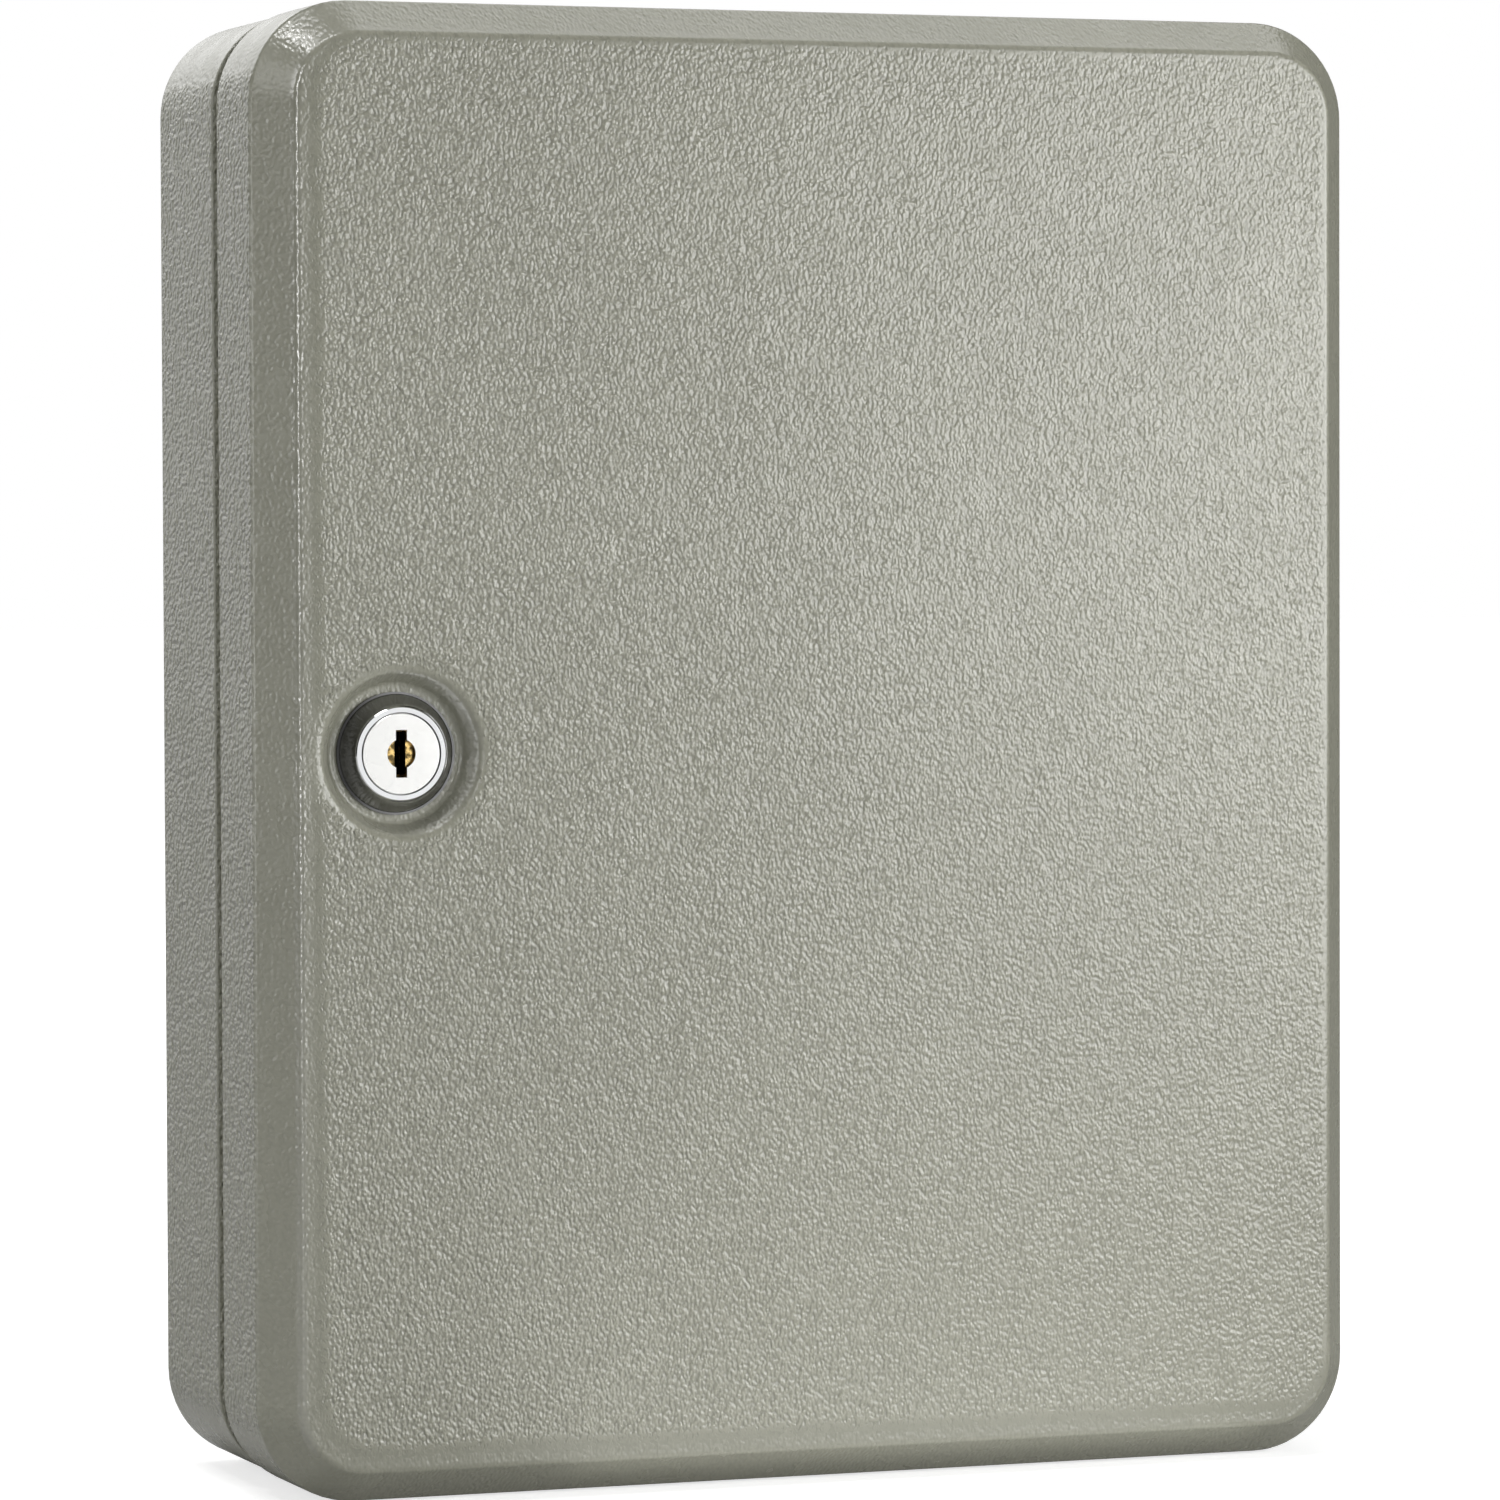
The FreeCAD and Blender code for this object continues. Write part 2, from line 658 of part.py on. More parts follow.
def lock_plug():
    """The turning plug: face, keyway, wafer slots, spring bores, square tail and screw hole."""
    part = lock_part("lock_plug")
    head_rear = "seat_out + plug_fit"
    profile = outline(
        part.sketch("XY_Plane"),
        [
            ("0", "-plug_end_out"),
            ("0", "-bezel_face_out"),
            ("plug_face_radius - plug_edge", "-bezel_face_out"),
            ("plug_face_radius", "plug_edge - bezel_face_out"),
            ("plug_face_radius", f"-({head_rear})"),
            ("plug_radius", f"-({head_rear})"),
            ("plug_radius", "-plug_end_out"),
        ],
    )
    part.revolve(profile)
    half_tail = "tail_side/2"
    tail = rectangle(
        part.sketch("XZ_Plane", "tail_end_out"), f"-{half_tail}", half_tail, f"-{half_tail}", half_tail
    )
    part.pad(tail, "plug_end_out - tail_end_out")
    guide = circle(part.sketch("XZ_Plane", "bezel_face_out"), "key_guide_radius")
    part.pocket(guide, "key_guide_depth")
    keyway = rectangle(
        part.sketch("XZ_Plane", "bezel_face_out"),
        "-keyway_width/2",
        "keyway_width/2",
        "-keyway_height/2",
        "keyway_height/2",
    )
    part.pocket(keyway, "bezel_face_out - keyway_end_out")
    room = "wafer_fit"
    slot = rectangle(
        part.sketch("XZ_Plane", f"wafer_first_out + {room}"),
        f"-(wafer_width/2 + {room})",
        f"wafer_width/2 + {room}",
        "-plug_face_radius",
        "plug_face_radius",
    )
    slot_cut = part.pocket(slot, f"wafer_thick + 2*{room}")
    ear_top = f"wafer_ear_low + wafer_ear_thick + wafer_travel + {room}"
    ears = rectangle(
        part.sketch("XZ_Plane", f"wafer_first_out + {room}"),
        f"-(wafer_ear + {room})",
        f"wafer_ear + {room}",
        f"-({ear_top})",
        ear_top,
    )
    ear_cut = part.pocket(ears, f"wafer_thick + 2*{room}")
    cuts = [slot_cut, ear_cut]
    for side in "-", "":
        bore = circle(
            part.sketch("XY_Plane", "-(spring_foot + wafer_fit)"),
            "spring_bore",
            f"{side}spring_at",
            "-(wafer_first_out - wafer_thick/2)",
        )
        cuts.append(part.pocket(bore, "2*(spring_foot + wafer_fit)", Reversed=True))
    part.repeat(cuts, "Y_Axis", "2*wafer_count", "wafer_pitch/2")
    screw_hole = circle(part.sketch("XZ_Plane", "tail_end_out"), "screw_radius + screw_fit")
    part.pocket(screw_hole, "screw_length", Reversed=True)


def wafers(label, out, turned):
    """Four wafers: round-ended plates with a key window and an ear that a spring pushes on."""
    part = SubPart(label, across="-lock_across", out=out, turned=turned)
    half = "wafer_width/2"
    top = "sqrt(wafer_radius^2 - (wafer_width/2)^2)"
    ear_top = "wafer_ear_low + wafer_ear_thick"
    profile = outline(
        part.sketch("XZ_Plane", "wafer_first_out - wafer_thick"),
        [
            (half, f"-{top}"),
            (half, "wafer_ear_low"),
            ("wafer_ear", "wafer_ear_low"),
            ("wafer_ear", ear_top),
            (half, ear_top),
            (half, top),
            (f"-{half}", top),
            (f"-{half}", f"-{top}"),
        ],
        {5: "wafer_radius", 7: "wafer_radius"},
    )
    wafer = part.pad(profile, "wafer_thick")
    window = rectangle(
        part.sketch("XZ_Plane", "wafer_first_out"),
        "-wafer_window_width/2",
        "wafer_window_width/2",
        "-wafer_window_height/2",
        "wafer_window_height/2",
    )
    cut = part.pocket(window, "wafer_thick")
    part.repeat([wafer, cut], "Y_Axis", "wafer_count", "wafer_pitch")


def wafer_springs(label, out, turned):
    """Four small coil springs, each under a wafer's ear."""
    part = SubPart(label, across="-lock_across", out=out, turned=turned)
    foot = "spring_foot - spring_wire/2"
    wire = circle(
        part.sketch("XZ_Plane", "wafer_first_out - wafer_thick/2", "spring_at"),
        "spring_wire/2",
        "spring_radius",
        f"-({foot})",
    )
    coil = part.feature(
        "AdditiveHelix",
        Profile=wire,
        ReferenceAxis=(wire, ["V_Axis"]),
        Mode="height-turns-angle",
        Height=f"{foot} + wafer_ear_low - spring_wire/2 - wafer_fit",
        Turns="spring_turns",
    )
    part.repeat([coil], "Y_Axis", "wafer_count", "wafer_pitch")


def square_hole(part, out, depth):
    """A square hole that fits the plug's tail, cut towards the wall."""
    half = "tail_side/2 + square_fit"
    part.pocket(rectangle(part.sketch("XZ_Plane", out), f"-({half})", half, f"-({half})", half), depth)


def cam_stop_washer():
    """The washer that limits the turn: its cut-out swings past the housing's post."""
    part = lock_part("cam_stop_washer")
    rear_out = "plug_end_out - stop_washer_thick"
    part.pad(circle(part.sketch("XZ_Plane", rear_out), "stop_washer_radius"), "stop_washer_thick")
    side = "stop_post_width/2 + stop_slack"
    hub = "plug_radius + wafer_travel"
    rise = f"sqrt(({hub})^2 - ({side})^2)"
    beyond = "2*stop_washer_radius"
    cut_out = outline(
        part.sketch("XZ_Plane", "plug_end_out"),
        [
            (side, rise),
            (side, beyond),
            (f"-({beyond})", beyond),
            (f"-({beyond})", f"-({side})"),
            (f"-({rise})", f"-({side})"),
        ],
        {4: f"-({hub})"},
    )
    part.pocket(cut_out, "stop_washer_thick")
    square_hole(part, "plug_end_out", "stop_washer_thick")


def lock_cam():
    """The cam: a flat arm on the plug's tail that swings behind the frame's lip to lock."""
    part = lock_part("lock_cam")
    front_out = "plug_end_out - stop_washer_thick"
    rear_out = f"{front_out} - cam_thick"
    part.pad(circle(part.sketch("XZ_Plane", rear_out), "cam_hub_radius"), "cam_thick")
    arm = rectangle(
        part.sketch("XZ_Plane", rear_out), "-cam_width/2", "cam_width/2", "-cam_reach", "0"
    )
    part.pad(arm, "cam_thick")
    tip = part.edges(
        lambda edge: runs_along("Y")(edge) and edge.BoundBox.ZMax < -value("cam_hub_radius")
    )
    part.dress("Fillet", tip, Radius="cam_tip_round")
    square_hole(part, front_out, "cam_thick")


def spring_washer():
    """The split washer under the cam screw's head."""
    part = lock_part("spring_washer")
    front_out = "plug_end_out - stop_washer_thick - cam_thick"
    ring = part.sketch("XZ_Plane", f"{front_out} - spring_washer_thick")
    circle(ring, "spring_washer_radius")
    circle(ring, "screw_radius + screw_fit")
    part.pad(ring, "spring_washer_thick")
    split = rectangle(
        part.sketch("XZ_Plane", front_out),
        "-spring_washer_thick/2",
        "spring_washer_thick/2",
        "0",
        "2*spring_washer_radius",
    )
    part.pocket(split, "spring_washer_thick")


def cam_screw():
    """The pan-head screw with a cross recess that clamps the cam to the plug."""
    part = lock_part("cam_screw")
    seat_out = "plug_end_out - stop_washer_thick - cam_thick - spring_washer_thick"
    rear_out = f"{seat_out} - screw_head_thick"
    part.pad(circle(part.sketch("XZ_Plane", rear_out), "screw_head_radius"), "screw_head_thick")
    part.dress(
        "Fillet", part.edges(lies_at("Y", -value(rear_out))), Radius="screw_head_round"
    )
    part.pad(circle(part.sketch("XZ_Plane", seat_out), "screw_radius"), "screw_length")
    part.dress(
        "Chamfer",
        part.edges(lies_at("Y", -value(f"{seat_out} + screw_length"))),
        Size="screw_point",
    )
    sides = ["recess_length/2", "recess_width/2"]
    for wide, high in (sides, sides[::-1]):
        slot = rectangle(part.sketch("XZ_Plane", rear_out), f"-{wide}", wide, f"-{high}", high)
        part.pocket(slot, "recess_depth", Reversed=True)


def rail_standard(label, across):
    """A slotted channel welded upright to the cabinet's back for the key rails' tabs."""
    part = SubPart(label, across=across)
    back = "-body_sheet"
    face = "-(body_sheet + standard_depth)"
    half = "standard_width/2"
    leg = f"{half} - standard_sheet"
    channel = outline(
        part.sketch("XY_Plane"),
        [
            (f"-{half}", face),
            (half, face),
            (half, back),
            (leg, back),
            (leg, f"{face} + standard_sheet"),
            (f"-({leg})", f"{face} + standard_sheet"),
            (f"-({leg})", back),
            (f"-{half}", back),
        ],
    )
    part.pad(channel, "standard_height", SideType="Symmetric")
    folds = part.edges(
        lambda edge: runs_along("Z")(edge) and abs(edge.BoundBox.YMin - value(face)) < SAME_LEVEL
    )
    part.dress("Fillet", folds, Radius="standard_sheet")
    low = "-(slot_count - 1)/2*slot_pitch - tab_neck/2 - rail_gap/2"
    slot = rectangle(
        part.sketch("XZ_Plane", "body_sheet + standard_depth"),
        "-slot_width/2",
        "slot_width/2",
        low,
        f"{low} + slot_height",
    )
    cut = part.pocket(slot, "standard_sheet")
    part.repeat([cut], "Z_Axis", "slot_count", "slot_pitch")


def key_rail(label, up):
    """A key rail: a strip with two hooked tabs behind it and eight key hooks at its lower edge."""
    part = SubPart(label, up=up)
    rear = "-(body_sheet + standard_depth + rail_gap)"
    face = f"{rear} - rail_sheet"
    half = "rail_height/2"
    strip = rectangle(
        part.sketch("XZ_Plane", f"-({rear})"), "-rail_width/2", "rail_width/2", f"-{half}", half
    )
    part.pad(strip, "rail_sheet")
    part.dress("Fillet", part.edges(runs_along("Y")), Radius="rail_sheet")
    behind = f"{rear} + rail_gap + standard_sheet + rail_gap"
    tab_points = [
        (face, "-tab_neck/2"),
        (behind, "-tab_neck/2"),
        (behind, "-(tab_neck/2 + tab_drop)"),
        (f"{behind} + rail_sheet", "-(tab_neck/2 + tab_drop)"),
        (f"{behind} + rail_sheet", "tab_neck/2"),
        (face, "tab_neck/2"),
    ]
    for side in "-", "":
        tab = outline(part.sketch("YZ_Plane", f"{side}standard_across"), tab_points)
        part.pad(tab, "rail_sheet", SideType="Symmetric")
    tip = f"{face} - hook_reach"
    low = f"-{half}"
    first = "-(hook_count - 1)/2*hook_pitch"
    hook = outline(
        part.sketch("YZ_Plane", first),
        [
            (f"{tip} + hook_bend", low),
            (rear, low),
            (rear, f"{low} + rail_sheet"),
            (f"{tip} + hook_bend", f"{low} + rail_sheet"),
            (f"{tip} + rail_sheet", f"{low} + hook_bend"),
            (f"{tip} + rail_sheet", f"{low} + hook_rise"),
            (tip, f"{low} + hook_rise"),
            (tip, f"{low} + hook_bend"),
        ],
        {3: "-(hook_bend - rail_sheet)", 7: "hook_bend"},
    )
    bent = part.pad(hook, "hook_width", SideType="Symmetric")
    part.repeat([bent], "X_Axis", "hook_count", "hook_pitch")


def number_strip(label, up):
    """The thin printed strip along the face of a key rail."""
    strip = doc.addObject("Part::Box", label)
    strip.Label = label
    bind(strip, "Length", "card_width")
    bind(strip, "Width", "card_thick")
    bind(strip, "Height", "card_height")
    out = "body_sheet + standard_depth + rail_gap + rail_sheet + card_thick"
    place(strip, across="-card_width/2", out=out, up=f"{up} + card_up")
    sub_parts.append(strip)


def lock():
    """The cam lock, from the bezel in front to the screw behind."""
    lock_housing()
    lock_bezel()
    lock_nut()
    lock_plug()
    for side, out, turned in (("upper", "0", 0), ("lower", "-wafer_pitch/2", 180)):
        wafers(f"wafers_{side}", out, turned)
        wafer_springs(f"wafer_springs_{side}", out, turned)
    cam_stop_washer()
    lock_cam()
    spring_washer()
    cam_screw()


def interior():
    """The standards on the cabinet's back and the key rails that hang from them."""
    rail_standard("rail_standard_left", "-standard_across")
    rail_standard("rail_standard_right", "standard_across")
    for number in range(RAIL_COUNT):
        up = f"top_rail_up - {number}*rail_pitch"
        key_rail(f"key_rail_{number + 1}", up)
        number_strip(f"number_strip_{number + 1}", up)


def check():
    """Stop unless every object is sound and every sub-part is a valid solid shape."""
    doc.recompute()
    for item in doc.Objects:
        if {"Invalid", "Error"} & set(item.State):
            raise RuntimeError(f"{item.Label} is {item.State}")
    for item in sub_parts:
        if item.Shape.isNull() or not item.Shape.isValid() or not item.Shape.Solids:
            raise RuntimeError(f"{item.Label} has no valid solid")


def export():
    """Write each sub-part to a STEP file named after it."""
    os.makedirs("parts", exist_ok=True)
    for item in sub_parts:
        item.Shape.exportStep(f"parts/{item.Label}.step")


fill_sheet()
body_shell()
front_frame()
door_shell()
hinge()
lock()
interior()
check()
export()
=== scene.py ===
import math

import bmesh
import bpy
from mathutils import Matrix, Vector


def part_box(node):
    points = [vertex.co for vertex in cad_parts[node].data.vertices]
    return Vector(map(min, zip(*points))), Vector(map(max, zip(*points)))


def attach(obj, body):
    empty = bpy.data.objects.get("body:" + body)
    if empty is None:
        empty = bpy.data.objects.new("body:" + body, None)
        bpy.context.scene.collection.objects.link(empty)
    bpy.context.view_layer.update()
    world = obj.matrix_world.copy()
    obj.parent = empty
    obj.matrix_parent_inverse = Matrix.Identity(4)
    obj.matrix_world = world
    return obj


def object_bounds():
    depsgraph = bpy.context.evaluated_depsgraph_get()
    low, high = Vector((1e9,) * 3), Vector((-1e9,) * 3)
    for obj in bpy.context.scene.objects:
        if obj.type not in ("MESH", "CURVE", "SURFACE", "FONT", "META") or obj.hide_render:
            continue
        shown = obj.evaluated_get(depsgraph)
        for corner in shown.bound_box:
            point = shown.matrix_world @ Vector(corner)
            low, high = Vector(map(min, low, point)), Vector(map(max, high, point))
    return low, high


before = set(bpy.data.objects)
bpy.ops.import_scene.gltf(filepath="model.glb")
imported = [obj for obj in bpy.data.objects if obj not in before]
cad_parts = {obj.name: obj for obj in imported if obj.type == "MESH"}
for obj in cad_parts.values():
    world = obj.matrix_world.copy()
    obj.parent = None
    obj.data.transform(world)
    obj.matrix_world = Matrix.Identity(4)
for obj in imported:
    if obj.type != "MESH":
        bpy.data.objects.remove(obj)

CAD_LOW, CAD_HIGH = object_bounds()
MM = 0.001

# Sizes of the looks, in metres. The places of pieces come from the frame.

# The pebbled coat. Squeezed along x and drawn out along y, its pebbles become upright ripples.
PEBBLE = 0.90 * MM
PEBBLE_SQUEEZE = (1.35, 0.6, 1.0)
PEBBLE_HEIGHT = 0.42 * MM
SKIN_HEIGHT = 0.05 * MM

# How coarse it is, as a share of PEBBLE_HEIGHT. SMOOTH is for bevels, corners and the dish,
# and the others are added to it.
FACE_LEFT = 1.12
FACE_RIGHT = 0.55
SIDES = 1.9
SMOOTH = 0.35

# Where it changes on the door. Pairs are the start and the end of a gradual change.
BEVEL_RUN = 6.9 * MM            # width of the bevel round the face
CREASE_RADIUS = 13 * MM         # corner of the crease between bevel and face
SMOOTH_BORDER = 3.6 * MM        # inside the crease, on the left and at the bottom
BORDER_RADIUS = 12 * MM
BORDER_RAGGED = 4.0 * MM
COAT_EDGE = (-2.0 * MM, 1.2 * MM)       # across the edge of that border
CREASE_EDGE = (-0.8 * MM, 0.2 * MM)     # across the crease
GLOSS_WIDTH = (0.5 * MM, 1.3 * MM)      # away from the crease
GLOSS_LEFT = (1.0 * MM, 4.0 * MM)       # rightwards from the left crease
DISH_EDGE = (17.6 * MM, 20.0 * MM)      # away from the lock's axis
SKIRT_EDGE = (9.0 * MM, 10.5 * MM)      # back from the front of the face
FACE_FINER = (-90 * MM, 50 * MM)        # across the face

# The lock. Pairs as above; depths are back from the front of the plug.
RING_RADIUS = 9.35 * MM         # outside of the bezel's flat ring
RIM_RADIUS = 11.5 * MM          # inside of the bezel's rim
GUIDE_RADIUS = (5.0 * MM, 5.4 * MM)
GUIDE_DEPTH = (0.10 * MM, 0.25 * MM)
# Depths over which the keyway fades to painted shade
KEYWAY_DEPTH = (0.9 * MM, 2.0 * MM)

# The printed numbers
RAIL_COUNT = 6
HOOKS_PER_RAIL = 8
HOOK_PITCH = 24 * MM
DIGIT_HEIGHT = 4.4 * MM
DIGIT_SHARE = 0.7               # height of a digit, as a share of the font's size
PRINT_THICK = 0.03 * MM

# Paint and metals, as linear colours
PAINT = (0.240, 0.240, 0.193)
PAINT_PALE = (0.253, 0.253, 0.204)
NICKEL = (0.86, 0.86, 0.84)
CHROME = (0.80, 0.81, 0.82)
ZINC = (0.60, 0.62, 0.64)
CASTING = (0.42, 0.42, 0.42)
BRASS = (0.74, 0.52, 0.20)
SPRING_STEEL = (0.36, 0.36, 0.37)
CARD = (0.84, 0.84, 0.80)
CARD_AGED = (0.80, 0.78, 0.70)
# Print ink, also used as the near-black painted shade deep in the keyway
INK_AND_KEYWAY_SHADE = (0.015, 0.015, 0.017)
INK_WORN = (0.05, 0.05, 0.055)
FLOOR_TONES = (0.52, 0.52, 0.52), (0.55, 0.55, 0.55)
BLACK = (0.0, 0.0, 0.0)

# Radiance of the room on the cabinet, from in front and from behind, and where along the
# direction's y part it changes
ROOM_FRONT = 0.02
ROOM_BEHIND = 0.04
ROOM_TURNS = (-0.4, 0.5)

# How far off the soft boxes stand
SOFTBOX_CLOSE = 0.9
SOFTBOX_FAR = 2.5

# The floor glows to the camera alone, and more so far from the cabinet. What it throws back on
# the cabinet is cut down on the right, as by a dark flag.
FLOOR_REACH = 12.0
FLOOR_GAP = 0.5 * MM
FLOOR_GLOW = 0.70
GLOW_GROWS = (0.15, 0.6)
FLAG_EDGE = (0.10, 0.16)
FLAG_SHARE = 0.7

# A glowing card flat on the floor, in front of the door
BOUNCE_GLOW = 0.72
BOUNCE_WIDE = 150 * MM
BOUNCE_DEEP = 100 * MM
BOUNCE_RIGHT = 20 * MM          # its middle, to the right of the cabinet's

# The camera
CAMERA_TURN = (20.342, 1.855, -0.203)   # yaw, pitch and roll, in degrees
CAMERA_TARGET = Vector((-17.153 * MM, CAD_LOW.y, -0.283 * MM))
CAMERA_DISTANCE = 1.363
LENS_LENGTH = 161.35
SENSOR_WIDTH = 36.0


class Graph:
    """A material and short calls that build its node tree."""

    def __init__(self, name):
        self.material = bpy.data.materials.new(name)
        self.material.use_nodes = True
        self.nodes = self.material.node_tree.nodes
        self.links = self.material.node_tree.links
        self.nodes.clear()

    def feed(self, socket, source):
        """Link a socket to another, or set its value."""
        if isinstance(source, bpy.types.NodeSocket):
            self.links.new(source, socket)
        else:
            if isinstance(source, tuple) and len(source) == 3 and socket.type == "RGBA":
                source = (*source, 1.0)
            socket.default_value = source

    def add(self, kind, settings=None, **inputs):
        """Add a node; inputs are named as in Blender, with _ for a space."""
        node = self.nodes.new(f"ShaderNode{kind}")
        for name, setting in (settings or {}).items():
            setattr(node, name, setting)
        for name, source in inputs.items():
            self.feed(node.inputs[name.replace("_", " ")], source)
        return node

    def math(self, operation, *values):
        """A value worked out from one to three others."""
        node = self.add("Math", {"operation": operation})
        for socket, source in zip(node.inputs, values):
            self.feed(socket, source)
        return node.outputs[0]

    def ramp(self, value, low, high, to_low=0.0, to_high=1.0):
        """A smooth step of a value between two levels."""
        node = self.add(
            "MapRange",
            {"interpolation_type": "SMOOTHSTEP"},
            Value=value,
            From_Min=low,
            From_Max=high,
            To_Min=to_low,
            To_Max=to_high,
        )
        return node.outputs[0]

    def mix(self, factor, first, second):
        """A colour between two others."""
        node = self.add("Mix", {"data_type": "RGBA"})
        self.feed(node.inputs[0], factor)
        self.feed(node.inputs[6], first)
        self.feed(node.inputs[7], second)
        return node.outputs[2]

    def place(self):
        """The point being shaded, in the row frame at rest."""
        return self.add("TexCoord").outputs["Object"]

    def noise(self, size, detail=2.0, roughness=0.5, where=None):
        """Noise with features of a given size in metres, from 0 to 1."""
        node = self.add(
            "TexNoise",
            Vector=where or self.place(),
            Scale=1 / size,
            Detail=detail,
            Roughness=roughness,
        )
        return node.outputs[0]

    def stretched(self, x, y, z):
        """The place, squeezed along each axis, for grain that runs one way."""
        node = self.add("Mapping", Vector=self.place(), Scale=(x, y, z))
        return node.outputs[0]

    def axes(self):
        """The three parts of the place: x, y and z."""
        return self.add("SeparateXYZ", Vector=self.place()).outputs

    def bump(self, height, distance, normal=None):
        """A normal tilted by a height from 0 to 1, which stands for a distance in metres."""
        node = self.add("Bump", Height=height, Distance=distance, Strength=1.0)
        if normal is not None:
            self.feed(node.inputs["Normal"], normal)
        return node.outputs[0]

    def finish(self, **inputs):
        """Close the tree with a principled surface and return the material."""
        surface = self.add("BsdfPrincipled", **inputs)
        output = self.add("OutputMaterial")
        self.links.new(surface.outputs[0], output.inputs["Surface"])
        return self.material


def pebbles(graph):
    """Height of the pebbled coat, from about 0 to 1: upright ripples and rounded lumps."""
    where = graph.stretched(*PEBBLE_SQUEEZE)
    lumps = graph.noise(PEBBLE, detail=0.0, where=where)
    cells = graph.add(
        "TexVoronoi",
        {"feature": "SMOOTH_F1"},
        Vector=where,
        Scale=1 / PEBBLE,
        Smoothness=0.6,
        Randomness=1.0,
    ).outputs["Distance"]
    domes = graph.math("SUBTRACT", 1.0, cells)
    return graph.math("MULTIPLY_ADD", lumps, 0.55, graph.math("MULTIPLY", domes, 0.45))


def coat_surface(graph, texture, height, gloss=0.0, depth=1.0):
    """Paint with its relief.

    Texture is how coarse the relief is. Gloss, from 0 to 1, polishes the paint, and depth
    scales its colour as painted shade. The hollows between pebbles are painted a little darker
    than their tops, as painted shade.
    """
    drift = graph.noise(60 * MM, detail=2.0)
    tint = graph.mix(graph.ramp(drift, 0.35, 0.7), PAINT, PAINT_PALE)
    # Painted shade: the hollows between pebbles are darkened in the colour, more where the relief
    # is coarser.
    hollow_painted_shade = graph.ramp(height, 0.34, 0.60, -0.16, 0.03)
    shaded = graph.math("MINIMUM", texture, 1.0)
    shade = graph.math("MULTIPLY", graph.math("MULTIPLY_ADD", hollow_painted_shade, shaded, 1.0), depth)
    paint = graph.add("VectorMath", {"operation": "SCALE"}, Vector=tint, Scale=shade).outputs[0]
    cloud = graph.noise(9 * MM, detail=3.0)
    dull = graph.ramp(cloud, 0.3, 0.7, 0.24, 0.30)
    roughness = graph.math("MULTIPLY_ADD", gloss, -0.06, dull)
    density = graph.math("MULTIPLY_ADD", gloss, 0.6, 1.56)
    flow = graph.noise(4 * MM, detail=3.0, roughness=0.55)
    skin = graph.bump(flow, SKIN_HEIGHT)
    relief = graph.bump(graph.math("MULTIPLY", height, texture), PEBBLE_HEIGHT, skin)
    return graph.finish(Base_Color=paint, Roughness=roughness, IOR=density, Normal=relief)


def flat_spots(graph):
    """1 where the surface faces straight along an axis, 0 on bevels and rounded corners."""
    normal = graph.add("TexCoord").outputs["Normal"]
    parts = graph.add("SeparateXYZ", Vector=normal).outputs
    most = graph.math(
        "MAXIMUM",
        graph.math("ABSOLUTE", parts[0]),
        graph.math("MAXIMUM", graph.math("ABSOLUTE", parts[1]), graph.math("ABSOLUTE", parts[2])),
    )
    return graph.ramp(most, 0.93, 0.995)


def rounded_box_distance(graph, low, high, radius):
    """Distance outside a rounded rectangle across the front, negative inside."""
    parts = graph.axes()
    reach = []
    for part, least, most in ((parts[0], low[0], high[0]), (parts[2], low[1], high[1])):
        offset = graph.math("ABSOLUTE", graph.math("SUBTRACT", part, (least + most) / 2))
        reach.append(graph.math("SUBTRACT", offset, (most - least) / 2 - radius))
    squares = [graph.math("POWER", graph.math("MAXIMUM", side, 0.0), 2.0) for side in reach]
    corner = graph.math("SQRT", graph.math("ADD", *squares))
    inside = graph.math("MINIMUM", graph.math("MAXIMUM", *reach), 0.0)
    return graph.math("SUBTRACT", graph.math("ADD", corner, inside), radius)


def distance_from_lock(graph):
    """Distance from the lock's axis, across the front."""
    low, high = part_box("lock_bezel")
    centre = (low + high) / 2
    parts = graph.axes()
    across = graph.math("SUBTRACT", parts[0], centre.x)
    up = graph.math("SUBTRACT", parts[2], centre.z)
    square = graph.math("ADD", graph.math("POWER", across, 2.0), graph.math("POWER", up, 2.0))
    return graph.math("SQRT", square)


